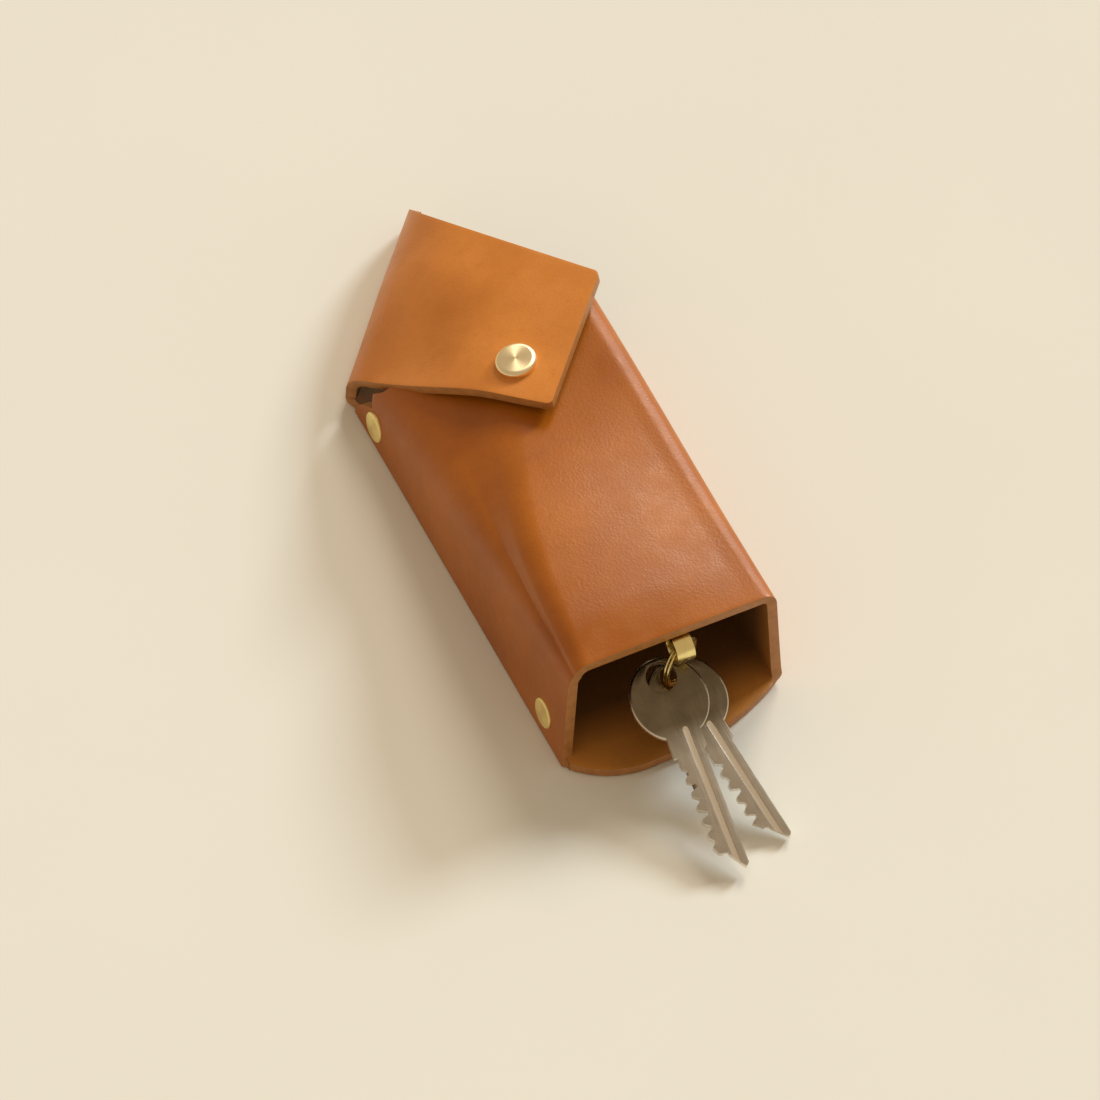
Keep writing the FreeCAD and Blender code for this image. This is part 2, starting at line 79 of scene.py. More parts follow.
class CaseSizes(bpy.types.PropertyGroup):
    """Sizes of the leather and the metal finish."""
    leather: bpy.props.FloatProperty(
        name="Leather", description="Thickness of the leather", default=2.6 * MM,
        unit="LENGTH", subtype="DISTANCE")
    width: bpy.props.FloatProperty(
        name="Width", description="Outer width of the tube", default=58.0 * MM,
        unit="LENGTH", subtype="DISTANCE")
    height: bpy.props.FloatProperty(
        name="Height", description="Outer height at the mouth", default=31.6 * MM,
        unit="LENGTH", subtype="DISTANCE")
    length: bpy.props.FloatProperty(
        name="Length", description="Length of the tube's top panel", default=106.0 * MM,
        unit="LENGTH", subtype="DISTANCE")
    side_inset: bpy.props.FloatProperty(
        name="Side inset", description="How far the left wall leans in at the top",
        default=3.7 * MM, unit="LENGTH", subtype="DISTANCE")
    lap_gap: bpy.props.FloatProperty(
        name="Lap gap", description="Slit between the left wall and the lip behind it",
        default=0.3 * MM, unit="LENGTH", subtype="DISTANCE")
    edge_round: bpy.props.FloatProperty(
        name="Edge rounding", description="Rounding of the burnished cut edges",
        default=0.55 * MM, unit="LENGTH", subtype="DISTANCE")
    cap_radius: bpy.props.FloatProperty(
        name="Cap radius", description="Radius of the press stud's cap", default=5.0 * MM,
        unit="LENGTH", subtype="DISTANCE")
    cap_height: bpy.props.FloatProperty(
        name="Cap height", description="Height of the press stud's cap", default=1.9 * MM,
        unit="LENGTH", subtype="DISTANCE")
    rivet_radius: bpy.props.FloatProperty(
        name="Rivet radius", description="Radius of the rivets' heads", default=3.85 * MM,
        unit="LENGTH", subtype="DISTANCE")
    rivet_height: bpy.props.FloatProperty(
        name="Rivet height", description="Height of the rivets' heads", default=0.9 * MM,
        unit="LENGTH", subtype="DISTANCE")
    fold_radius: bpy.props.FloatProperty(
        name="Fold radius", description="Outer radius of the flap's fold at the table",
        default=3.0 * MM, unit="LENGTH", subtype="DISTANCE")


class CaseColours(bpy.types.PropertyGroup):
    """Colours of the materials and the stage, in linear values."""
    leather: bpy.props.FloatVectorProperty(
        name="Leather", description="Mid tone of the grain side", subtype="COLOR", size=3,
        min=0.0, max=1.0, default=(0.465, 0.133, 0.005))
    # Painted light: the flap's tone is set lighter than the tube's, standing in for the stronger
    # light the flap catches
    flap: bpy.props.FloatVectorProperty(
        name="Flap", description="Mid tone of the flap, lighter from handling",
        subtype="COLOR", size=3, min=0.0, max=1.0, default=(0.715, 0.256, 0.042))
    # Partly painted highlight: the cut edge is set lighter both for its own burnished tone and
    # to stand in for the light it catches
    edge: bpy.props.FloatVectorProperty(
        name="Cut edge", description="Burnished cut edge", subtype="COLOR", size=3,
        min=0.0, max=1.0, default=(0.480, 0.200, 0.050))
    flesh: bpy.props.FloatVectorProperty(
        name="Flesh side", description="Inner face of the leather", subtype="COLOR", size=3,
        min=0.0, max=1.0, default=(0.560, 0.220, 0.028))
    brass: bpy.props.FloatVectorProperty(
        name="Brass", description="Satin brass", subtype="COLOR", size=3, min=0.0, max=1.0,
        default=(0.98, 0.82, 0.36))
    # Painted light: a paler, brighter copy of the brass, standing in for the brighter reflection
    # on the press stud's cap
    cap_brass_painted_light: bpy.props.FloatVectorProperty(
        name="Cap brass", description="Paler plating of the press stud's cap",
        subtype="COLOR", size=3, min=0.0, max=1.0, default=(1.0, 0.84, 0.53))
    nickel: bpy.props.FloatVectorProperty(
        name="Nickel", description="Bright milled nickel silver", subtype="COLOR", size=3,
        min=0.0, max=1.0, default=(0.88, 0.80, 0.68))
    # Painted reflection: the bows' dark brown stands in for the dark room overhead and the brown
    # leather they mirror
    bow_nickel_painted_reflection: bpy.props.FloatVectorProperty(
        name="Dull nickel", description="Tarnished bows of the keys", subtype="COLOR", size=3,
        min=0.0, max=1.0, default=(0.22, 0.172, 0.108))
    floor: bpy.props.FloatVectorProperty(
        name="Floor", description="Pale floor", subtype="COLOR", size=3, min=0.0, max=1.0,
        default=(0.845, 0.834, 0.755))


def sizes():
    """Sizes set in the sidebar."""
    return bpy.context.scene.case_sizes


def colours():
    """Colours set in the sidebar."""
    return bpy.context.scene.case_colours


# Noise of a finish: cells per metre, detail, the range taken from it and what that is mapped to
Pattern = namedtuple("Pattern", "scale detail low high start end")
# Fine relief of a finish: strength and depth
Relief = namedtuple("Relief", "strength depth")


def shade(tone, share):
    """A colour with all its channels scaled."""
    return [value * share for value in tone]


NOISE_ROUGHNESS = 0.55


class Shader:
    """A material with one surface shader and short calls for its nodes."""

    def __init__(self, name):
        self.material = bpy.data.materials.new(name)
        self.material.use_nodes = True
        self.tree = self.material.node_tree
        self.surface = self.tree.nodes["Principled BSDF"]
        self.place = self.node("ShaderNodeTexCoord").outputs["Object"]

    def node(self, kind, **values):
        made = self.tree.nodes.new(kind)
        for key, value in values.items():
            setattr(made, key, value)
        return made

    def link(self, source, target):
        self.tree.links.new(source, target)

    def set(self, **values):
        for key, value in values.items():
            self.surface.inputs[key.replace("_", " ")].default_value = value

    def axis(self, name):
        """One coordinate of the piece's own frame."""
        made = self.node("ShaderNodeSeparateXYZ")
        self.link(self.place, made.inputs["Vector"])
        return made.outputs[name]

    def noise(self, scale, detail, place=None):
        made = self.node("ShaderNodeTexNoise")
        made.inputs["Scale"].default_value = scale
        made.inputs["Detail"].default_value = detail
        made.inputs["Roughness"].default_value = NOISE_ROUGHNESS
        self.link(place or self.place, made.inputs["Vector"])
        return made.outputs["Fac"]

    def ramp(self, source, low, high, start, end):
        """Map a value to a range, clamped at both ends."""
        made = self.node("ShaderNodeMapRange")
        made.inputs["From Min"].default_value = low
        made.inputs["From Max"].default_value = high
        made.inputs["To Min"].default_value = start
        made.inputs["To Max"].default_value = end
        self.link(source, made.inputs["Value"])
        return made.outputs["Result"]

    def spots(self, pattern):
        """Noise mapped to the range of a pattern."""
        source = self.noise(pattern.scale, pattern.detail)
        return self.ramp(source, pattern.low, pattern.high, pattern.start, pattern.end)

    def mix(self, factor, first, second):
        made = self.node("ShaderNodeMix", data_type="RGBA")
        self.link(factor, made.inputs["Factor"])
        for socket, value in ((made.inputs["A"], first), (made.inputs["B"], second)):
            if isinstance(value, bpy.types.NodeSocket):
                self.link(value, socket)
            else:
                socket.default_value = (*value, 1.0)
        return made.outputs["Result"]

    def bump(self, height, relief, before=None):
        made = self.node("ShaderNodeBump")
        made.inputs["Strength"].default_value = relief.strength
        made.inputs["Distance"].default_value = relief.depth
        self.link(height, made.inputs["Height"])
        if before:
            self.link(before, made.inputs["Normal"])
        return made.outputs["Normal"]


# Share of each channel that the dark clouds of the leather keep
MOTTLE = (0.77, 0.69, 0.50)
GRAIN_CLOUD = Pattern(38.0, 5.0, 0.34, 0.68, 0.0, 1.0)
GRAIN_FLECK = Pattern(420.0, 3.0, 0.52, 0.75, 0.0, 0.35)
GRAIN_ROUGHNESS = Pattern(160.0, 4.0, 0.35, 0.7, 0.33, 0.45)
GRAIN_SPECULAR = 0.40
WAVE_SCALE, WAVE_DETAIL = 55.0, 3.0
WAVE_RELIEF = Relief(0.12, 0.6 * MM)
PORE_SCALE = 1500.0
PORE_RELIEF = Relief(0.24, 0.10 * MM)
FINE_SCALE, FINE_DETAIL = 1100.0, 3.0
FINE_RELIEF = Relief(0.22, 0.10 * MM)


def leather_material(light):
    """Grain side: soft mottling, fine pores and a satin sheen."""
    deep = [v * m for v, m in zip(light, MOTTLE)]
    shader = Shader("leather_grain")
    base = shader.mix(shader.spots(GRAIN_CLOUD), deep, light)
    base = shader.mix(shader.spots(GRAIN_FLECK), base, deep)
    shader.link(base, shader.surface.inputs["Base Color"])
    shader.set(Specular_IOR_Level=GRAIN_SPECULAR)
    shader.link(shader.spots(GRAIN_ROUGHNESS), shader.surface.inputs["Roughness"])
    pores = shader.node("ShaderNodeTexVoronoi")
    pores.inputs["Scale"].default_value = PORE_SCALE
    shader.link(shader.place, pores.inputs["Vector"])
    wave = shader.bump(shader.noise(WAVE_SCALE, WAVE_DETAIL), WAVE_RELIEF)
    grain = shader.bump(pores.outputs["Distance"], PORE_RELIEF, wave)
    fine = shader.bump(shader.noise(FINE_SCALE, FINE_DETAIL), FINE_RELIEF, grain)
    shader.link(fine, shader.surface.inputs["Normal"])
    return shader.material


EDGE_STREAK = Pattern(500.0, 4.0, 0.3, 0.7, 0.0, 1.0)
EDGE_DARK = 0.75
EDGE_ROUGHNESS = 0.45
EDGE_SCALE, EDGE_DETAIL = 900.0, 4.0
EDGE_RELIEF = Relief(0.25, 0.1 * MM)


def edge_material():
    """Burnished cut edge with the layers of the hide; its lighter tone is partly its own and
    partly a painted highlight along the edge.
    """
    shader = Shader("leather_edge")
    tone = colours().edge
    base = shader.mix(shader.spots(EDGE_STREAK), shade(tone, EDGE_DARK), tone)
    shader.link(base, shader.surface.inputs["Base Color"])
    shader.set(Roughness=EDGE_ROUGHNESS)
    fibre = shader.bump(shader.noise(EDGE_SCALE, EDGE_DETAIL), EDGE_RELIEF)
    shader.link(fibre, shader.surface.inputs["Normal"])
    return shader.material


FLESH_CLOUD = Pattern(90.0, 6.0, 0.3, 0.7, 0.0, 1.0)
FLESH_DARK = 0.8
# Painted shade: share of the flesh tone kept past the mouth's rim, inside the tube, under the
# flap and on the back panel
FLESH_PAINTED_SHADE = 0.3
FLESH_ROUGHNESS = 0.8
NAP_SCALE, NAP_DETAIL = 1300.0, 6.0
NAP_RELIEF = Relief(0.5, 0.15 * MM)
PAINTED_SHADE_FROM = -2.0 * MM
PAINTED_SHADE_TO = 9.0 * MM


def flesh_material():
    """Inner face: matt, with a short nap, and painted shade: darker behind the rim of the mouth,
    inside the case.
    """
    shader = Shader("leather_flesh")
    tone = colours().flesh
    rim = shader.mix(shader.spots(FLESH_CLOUD), shade(tone, FLESH_DARK), tone)
    # Painted shade: the flesh side darkens along Y from the mouth's rim inward
    inside = shader.ramp(shader.axis("Y"), PAINTED_SHADE_FROM, PAINTED_SHADE_TO, 0.0, 1.0)
    base = shader.mix(inside, rim, shade(tone, FLESH_PAINTED_SHADE))
    shader.link(base, shader.surface.inputs["Base Color"])
    shader.set(Roughness=FLESH_ROUGHNESS)
    nap = shader.bump(shader.noise(NAP_SCALE, NAP_DETAIL), NAP_RELIEF)
    shader.link(nap, shader.surface.inputs["Normal"])
    return shader.material


TARNISH = Pattern(260.0, 5.0, 0.35, 0.75, 0.0, 0.5)
TARNISH_DARK = 0.72
BRASS_ROUGHNESS = Pattern(700.0, 3.0, 0.3, 0.7, 0.20, 0.32)


def brass_material():
    """Satin brass with a little tarnish."""
    shader = Shader("brass")
    tone = colours().brass
    base = shader.mix(shader.spots(TARNISH), tone, shade(tone, TARNISH_DARK))
    shader.link(base, shader.surface.inputs["Base Color"])
    shader.set(Metallic=1.0)
    shader.link(shader.spots(BRASS_ROUGHNESS), shader.surface.inputs["Roughness"])
    return shader.material


HEAD_WEAR = Pattern(320.0, 5.0, 0.45, 0.75, 0.0, 0.30)
HEAD_DARK = 0.78
HEAD_RINGS = 900.0
HEAD_WOBBLE = 1.2
HEAD_RELIEF = Relief(0.12, 0.04 * MM)
HEAD_ROUGHNESS = 0.40
HEAD_FAN = 0.7


def spun_brass_material(tone):
    """Brass head with turning marks and a fan of light about its own Z."""
    shader = Shader("spun_brass")
    base = shader.mix(shader.spots(HEAD_WEAR), tone, shade(tone, HEAD_DARK))
    shader.link(base, shader.surface.inputs["Base Color"])
    rings = shader.node("ShaderNodeTexWave", wave_type="RINGS", rings_direction="Z")
    rings.inputs["Scale"].default_value = HEAD_RINGS
    rings.inputs["Distortion"].default_value = HEAD_WOBBLE
    shader.link(shader.place, rings.inputs["Vector"])
    shader.link(shader.bump(rings.outputs["Fac"], HEAD_RELIEF), shader.surface.inputs["Normal"])
    tangent = shader.node("ShaderNodeTangent", direction_type="RADIAL", axis="Z")
    shader.link(tangent.outputs["Tangent"], shader.surface.inputs["Tangent"])
    shader.set(Metallic=1.0, Roughness=HEAD_ROUGHNESS, Anisotropic=HEAD_FAN)
    return shader.material


KEY_WEAR = Pattern(180.0, 6.0, 0.35, 0.72, 0.0, 1.0)
BOW_DARK = 0.72
BLADE_LIGHT, BLADE_DARK = 0.68, 0.56
KEY_BRIGHT_FROM = -12.0 * MM
KEY_BRIGHT_TO = -20.0 * MM
KEY_CUT_FLOOR = 0.50 * MM
KEY_CUT_TOP = 0.92 * MM
SCRATCH_SCALE, SCRATCH_DETAIL = 2600.0, 2.0
SCRATCH_STRETCH = (1.0, 0.06, 1.0)
SCRATCH_RANGE = (0.3, 0.7)
KEY_ROUGHNESS = (0.24, 0.38)
SCRATCH_RELIEF = Relief(0.14, 0.05 * MM)


def nickel_material():
    """Key metal: a bow painted dark brown as a painted reflection of the dark room and the
    leather, a grey blade and bright cuts, with scratches lengthwise.
    """
    shader = Shader("nickel")
    bow_reflection_tone = colours().bow_nickel_painted_reflection
    bright = colours().nickel
    # Ramp along the key from the bow's painted reflection tone to the grey blade
    blade = shader.ramp(shader.axis("Y"), KEY_BRIGHT_TO, KEY_BRIGHT_FROM, 1.0, 0.0)
    wear = shader.spots(KEY_WEAR)
    bow = shader.mix(wear, bow_reflection_tone, shade(bow_reflection_tone, BOW_DARK))
    grey = shader.mix(wear, shade(bright, BLADE_LIGHT), shade(bright, BLADE_DARK))
    depth = shader.node("ShaderNodeMath", operation="ABSOLUTE")
    shader.link(shader.axis("Z"), depth.inputs[0])
    cut = shader.ramp(depth.outputs["Value"], KEY_CUT_FLOOR, KEY_CUT_TOP, 1.0, 0.0)
    face = shader.mix(blade, bow, grey)
    shader.link(shader.mix(cut, face, bright), shader.surface.inputs["Base Color"])
    shader.set(Metallic=1.0)
    stretch = shader.node("ShaderNodeMapping")
    stretch.inputs["Scale"].default_value = SCRATCH_STRETCH
    shader.link(shader.place, stretch.inputs["Vector"])
    scratch = shader.noise(SCRATCH_SCALE, SCRATCH_DETAIL, stretch.outputs["Vector"])
    rough = shader.ramp(scratch, *SCRATCH_RANGE, *KEY_ROUGHNESS)
    shader.link(rough, shader.surface.inputs["Roughness"])
    shader.link(shader.bump(scratch, SCRATCH_RELIEF), shader.surface.inputs["Normal"])
    return shader.material


MATERIALS = {
    "leather": lambda: leather_material(colours().leather),
    # Painted light: the flap uses a lighter copy of the leather
    "flap_leather_painted_lighter": lambda: leather_material(colours().flap),
    "edge": edge_material,
    "flesh": flesh_material,
    "brass": brass_material,
    "spun_brass": lambda: spun_brass_material(colours().brass),
    # Painted light: the cap's head uses a paler, brighter copy of the brass
    "cap_brass_painted_light": lambda: spun_brass_material(colours().cap_brass_painted_light),
    "nickel": nickel_material,
}


def material(name):
    """A material by its short name, made on first use."""
    made = bpy.data.materials.get("case_" + name)
    if made is None:
        made = MATERIALS[name]()
        made.name = "case_" + name
    return made


def mesh_object(name, vertices, faces, materials, indices=None):
    """Smooth-shaded mesh object in the scene, in the part's own frame."""
    mesh = bpy.data.meshes.new(name)
    mesh.from_pydata([tuple(v) for v in vertices], [], faces)
    for item in materials:
        mesh.materials.append(material(item))
    for face in mesh.polygons:
        face.use_smooth = True
        if indices:
            face.material_index = indices[face.index]
    mesh.update()
    made = bpy.data.objects.new(name, mesh)
    bpy.context.scene.collection.objects.link(made)
    return made


# Segments of a rounding and the least angle, in degrees, of an edge that gets it
LEATHER_ROUNDING = (3, 50.0)
METAL_ROUNDING = (2, 35.0)
SHARP_ANGLE = 60.0


def round_edges(made, width, rounding):
    """Round the sharp edges of a mesh for good."""
    segments, angle = rounding
    bevel = made.modifiers.new("rounding", "BEVEL")
    bevel.width = width
    bevel.segments = segments
    bevel.limit_method = "ANGLE"
    bevel.angle_limit = math.radians(angle)
    bevel.use_clamp_overlap = True
    graph = bpy.context.evaluated_depsgraph_get()
    mesh = bpy.data.meshes.new_from_object(made.evaluated_get(graph))
    made.modifiers.clear()
    made.data = mesh
    for face in mesh.polygons:
        face.use_smooth = True
    mesh.set_sharp_from_angle(angle=math.radians(SHARP_ANGLE))


GRAIN, EDGE, FLESH = 0, 1, 2


def leather_sheet(name, outer, inner, grain="leather", open_sides=()):
    """Sheet between two grids of points, with cut edges on the sides that aren't open."""
    rows = len(outer)
    columns = len(outer[0])
    vertices = [p for row in outer for p in row] + [p for row in inner for p in row]
    shift = rows * columns
    faces = []
    indices = []

    def at(row, column):
        return row * columns + column

    for row in range(rows - 1):
        for column in range(columns - 1):
            quad = (at(row, column), at(row, column + 1), at(row + 1, column + 1),
                    at(row + 1, column))
            faces.append(quad)
            indices.append(GRAIN)
            faces.append(tuple(shift + v for v in reversed(quad)))
            indices.append(FLESH)
    borders = {
        "start": [at(0, c) for c in range(columns)],
        "end": [at(rows - 1, c) for c in reversed(range(columns))],
        "left": [at(r, 0) for r in reversed(range(rows))],
        "right": [at(r, columns - 1) for r in range(rows)],
    }
    for side, loop in borders.items():
        if side in open_sides:
            continue
        for a, b in zip(loop, loop[1:]):
            faces.append((b, a, shift + a, shift + b))
            indices.append(EDGE)
    made = mesh_object(name, vertices, faces, [grain, "edge", "flesh"], indices)
    mesh = bmesh.new()
    mesh.from_mesh(made.data)
    bmesh.ops.recalc_face_normals(mesh, faces=mesh.faces)
    mesh.to_mesh(made.data)
    mesh.free()
    return made


def spread(start, end, count):
    """Values from start to end, both included."""
    return [start + (end - start) * i / (count - 1) for i in range(count)]


def ease(value):
    """Smooth step from 0 to 1, level at both ends."""
    value = min(max(value, 0.0), 1.0)
    return value * value * (3 - 2 * value)


def corner_path(points, radii, counts):
    """Points and inward normals along a clockwise path with rounded corners.

    counts holds the samples on each straight side and on each corner in turn.
    """
    path = []
    entry = points[0]
    for index in range(1, len(points) - 1):
        corner = points[index]
        back = (points[index - 1] - corner).normalized()
        ahead = (points[index + 1] - corner).normalized()
        half = back.angle(ahead) / 2
        reach = radii[index - 1] / math.tan(half)
        start = corner + back * reach
        end = corner + ahead * reach
        heading = -back
        normal = Vector((heading.y, -heading.x))
        first = 0 if index == 1 else 1
        for share in spread(0.0, 1.0, counts[2 * index - 2])[first:-1]:
            path.append((entry.lerp(start, share), normal))
        centre = start + normal * radii[index - 1]
        sweep = math.pi - 2 * half
        for share in spread(0.0, 1.0, counts[2 * index - 1]):
            turned = (-normal).copy()
            turned.rotate(Matrix.Rotation(-sweep * share, 2))
            path.append((centre + turned * radii[index - 1], -turned))
        entry = end
    heading = (points[-1] - entry).normalized()
    normal = Vector((heading.y, -heading.x))
    for share in spread(0.0, 1.0, counts[-1])[1:]:
        path.append((entry.lerp(points[-1], share), normal))
    return path


# Tube sections in mm: y, shoulder drop, crest shift, crest drop, right drop, three corner radii
STATIONS = (
    (-1.2, 3.0, 3.0, 0.0, 0.0, 4.6, 4.6, 3.4),
    (40.0, 6.0, 8.0, 0.5, 0.2, 8.0, 10.0, 5.0),
    (80.0, 12.0, 20.0, 2.4, 0.4, 14.0, 22.0, 5.0),
    (106.0, 16.6, 28.5, 4.2, 0.6, 15.0, 26.0, 5.0),
)
# Samples on each side and corner of the path, in the order of PATH_NAMES
PATH_NAMES = ("wall", "shoulder", "slope", "crest", "top", "corner", "right", "foot", "back",
              "lip_fold", "lip")
PATH_COUNTS = (22, 12, 12, 12, 22, 12, 14, 8, 30, 8, 10)
LIP_HEIGHT = 14.0 * MM
LIP_START = 8.0 * MM
LIP_BACK = 2.0 * MM
LIP_FOLD = 3.0 * MM
# Shares: the lip's fold at the mouth, where the lip starts to hide, and the lap at the mouth
LIP_FOLD_LEAST = 0.1
LIP_HIDDEN_FROM = 0.6
LAP_AT_MOUTH = 0.4
PANEL_FOLD = 3.0 * MM
FOOT_REACH = 1.2 * MM
FOOT_TURN = 2.4 * MM
FOOT_HEIGHT = 3.6 * MM
MOUTH_BACK = 2.2 * MM
TONGUE_REACH = 10.6 * MM
TONGUE_LEFT = 3.0 * MM
TONGUE_LOW_X = -7.5 * MM
TONGUE_BULGE = 2.8 * MM
WALL_TAIL = 7.4 * MM
# Corners of the notch in the wall's far edge: reach past the tube's length, and height
NOTCH = ((0.4 * MM, 9.0 * MM), (2.6 * MM, 11.6 * MM), (0.0, 14.5 * MM))


def station(y):
    """Section values at a distance along the tube, eased between the stations."""
    y = min(max(y / MM, STATIONS[0][0]), STATIONS[-1][0])
    for index in range(len(STATIONS) - 1):
        low, high = STATIONS[index], STATIONS[index + 1]
        if y <= high[0]:
            before = STATIONS[max(index - 1, 0)]
            after = STATIONS[min(index + 2, len(STATIONS) - 1)]
            span = high[0] - low[0]
            t = (y - low[0]) / span
            values = []
            for k in range(1, len(low)):
                rise = (high[k] - before[k]) / (high[0] - before[0]) * span
                fall = (after[k] - low[k]) / (after[0] - low[0]) * span
                values.append((2 * t ** 3 - 3 * t ** 2 + 1) * low[k]
                              + (t ** 3 - 2 * t ** 2 + t) * rise
                              + (3 * t ** 2 - 2 * t ** 3) * high[k]
                              + (t ** 3 - t ** 2) * fall)
            return [v * MM for v in values]
    raise ValueError("station outside the tube")


def wall_x(height, depth=0.0):
    """X of the left wall's outer face at a height, or a depth inside it."""
    lean = sizes().side_inset / sizes().height
    return -sizes().width / 2 + height * lean + depth * math.hypot(1.0, lean)


def tube_path(y):
    """Outer path of the leather at y, from the left wall's foot round to the lip's top."""
    drop, shift, crest, right, shoulder_r, crest_r, right_r = station(y)
    height = sizes().height
    half = sizes().width / 2
    behind = ease((y - LIP_START) / LIP_FOLD)
    under = LAP_AT_MOUTH + (1.0 - LAP_AT_MOUTH) * behind
    lap = sizes().leather * under + sizes().lap_gap * behind
    lip_r = LIP_FOLD * max(behind, LIP_FOLD_LEAST)
    shoulder_z = height - drop
    corners = [
        Vector((wall_x(0.0), 0.0)),
        Vector((wall_x(shoulder_z), shoulder_z)),
        Vector((wall_x(height) + shift, height - crest)),
        Vector((half, height - right)),
        Vector((half, 0.0)),
        Vector((wall_x(0.0, lap), 0.0)),
        Vector((wall_x(LIP_HEIGHT, lap), LIP_HEIGHT)),
    ]
    return corner_path(corners, [shoulder_r, crest_r, right_r, PANEL_FOLD, lip_r],
                       PATH_COUNTS)


def path_parts():
    """Name of the part of the tube's path that each column belongs to."""
    parts = []
    for index, (name, count) in enumerate(zip(PATH_NAMES, PATH_COUNTS)):
        if index in (0, len(PATH_NAMES) - 1):
            count -= 1
        elif index % 2 == 0:
            count -= 2
        parts += [name] * count
    return parts


def arc_through(first, middle, last, x):
    """Y at an x on the circle through three points, on the side of the middle point."""
    ax, ay = middle[0] - first[0], middle[1] - first[1]
    bx, by = last[0] - first[0], last[1] - first[1]
    cross = 2 * (ax * by - ay * bx)
    a2, b2 = ax * ax + ay * ay, bx * bx + by * by
    cx = first[0] + (by * a2 - ay * b2) / cross
    cy = first[1] + (ax * b2 - bx * a2) / cross
    radius = math.hypot(first[0] - cx, first[1] - cy)
    side = -1.0 if middle[1] < cy else 1.0
    return cy + side * math.sqrt(max(radius ** 2 - (x - cx) ** 2, 0.0))


def tongue_edge(x):
    """Front edge of the back panel below the mouth."""
    side = sizes().leather / 2
    left = (wall_x(0.0) + side, -TONGUE_LEFT)
    low = (TONGUE_LOW_X, -TONGUE_REACH)
    right = (sizes().width / 2 - side, -FOOT_REACH)
    first, last = (left, low) if x < low[0] else (low, right)
    middle = ((first[0] + last[0]) / 2, (first[1] + last[1]) / 2 - TONGUE_BULGE)
    return arc_through(first, middle, last, min(max(x, left[0]), right[0]))


def mouth_edge(height):
    """Front edge of the walls and the top panel, which leans back with height."""
    return -FOOT_REACH + (MOUTH_BACK + FOOT_REACH) * height / sizes().height


def wall_end(height):
    """Far edge of the left wall at a height, with its notch."""
    length = sizes().length
    (notch_y, notch_z), (tip_y, tip_z), (top_y, top_z) = NOTCH
    if height <= notch_z:
        return length + WALL_TAIL + (notch_y - WALL_TAIL) * (height / notch_z) ** 2
    if height <= tip_z:
        return length + notch_y + (tip_y - notch_y) * (height - notch_z) / (tip_z - notch_z)
    if height <= top_z:
        return length + tip_y + (top_y - tip_y) * (height - tip_z) / (top_z - tip_z)
    return length


def column_limits():
    """Near end outside and inside, and far end, of every column of the tube's sheet."""
    near = tube_path(0.0)
    far = tube_path(sizes().length)
    limits = []
    parts = path_parts()
    turn = [i for i, part in enumerate(parts) if part == "lip_fold"]
    for index, part in enumerate(parts):
        point = near[index][0]
        outside, far_end = mouth_edge(point.y), sizes().length
        inside = outside
        if part in ("wall", "shoulder"):
            inside = outside - FOOT_TURN * (1.0 - ease(point.y / FOOT_HEIGHT))
            far_end = wall_end(far[index][0].y)
        elif part in ("foot", "back"):
            outside = inside = min(tongue_edge(point.x), outside)
        elif part == "lip_fold":
            share = (index - turn[0]) / (len(turn) - 1)
            hidden = ease((share - LIP_HIDDEN_FROM) / (1.0 - LIP_HIDDEN_FROM))
            outside = tongue_edge(point.x)
            outside = inside = outside + (LIP_START - outside) * hidden
            far_end = sizes().length - LIP_BACK * ease(share)
        elif part == "lip":
            outside = inside = LIP_START
            far_end = sizes().length - LIP_BACK
        limits.append((outside, inside, far_end))
    return limits


RIPPLE = 0.10 * MM
RIPPLE_ACROSS, ACROSS_PHASE = 9.0 * MM, 1.3
RIPPLE_ALONG, ALONG_PHASE = 17.0 * MM, 0.4
RIPPLE_FROM = 4.0 * MM
RIPPLE_RISE = 8.0 * MM


def ripple(y, x, height):
    """Slow unevenness of a hand-formed sheet, fading towards the table."""
    wave = math.sin(x / RIPPLE_ACROSS + ACROSS_PHASE) * math.sin(y / RIPPLE_ALONG + ALONG_PHASE)
    return RIPPLE * wave * ease((height - RIPPLE_FROM) / RIPPLE_RISE)


TOP_BULGE = 2.7 * MM
BULGE_START = -4.0 * MM
BULGE_RISE = 20.0 * MM
BULGE_END = 36.0 * MM
BULGE_FALL = 50.0 * MM


def swell(y):
    """Share of the bulge at a distance along the tube."""
    rise = ease((y - BULGE_START) / BULGE_RISE)
    return rise * (1.0 - ease((y - BULGE_END) / BULGE_FALL))


def bulges():
    """Outward bulge of every column, largest in the middle of the top."""
    parts = path_parts()
    top = [i for i, part in enumerate(parts) if part in ("slope", "crest", "top")]
    return [TOP_BULGE * math.sin(math.pi * (i - top[0]) / (len(top) - 1)) if i in top else 0.0
            for i in range(len(parts))]


TUBE_ROWS = 90
PATH_STEP = 0.05 * MM


def build_tube():
    """The leather tube with its tongue, seam lip and wall tail."""
    limits = column_limits()
    bulge = bulges()
    grids = ([], [])
    paths = {}
    for share in spread(0.0, 1.0, TUBE_ROWS):
        for grid, depth in zip(grids, (0.0, sizes().leather)):
            row = []
            for index, (outside, inside, far_end) in enumerate(limits):
                start = inside if depth else outside
                y = start + (far_end - start) * share
                key = round(y / PATH_STEP)
                if key not in paths:
                    paths[key] = tube_path(y)
                point, normal = paths[key][index]
                inward = depth or -ripple(y, point.x, point.y)
                spot = point + normal * inward - normal * (bulge[index] * swell(y))
                row.append(Vector((spot.x, y, spot.y)))
            grid.append(row)
    made = leather_sheet("leather_tube", *grids)
    round_edges(made, sizes().edge_round, LEATHER_ROUNDING)
    return made


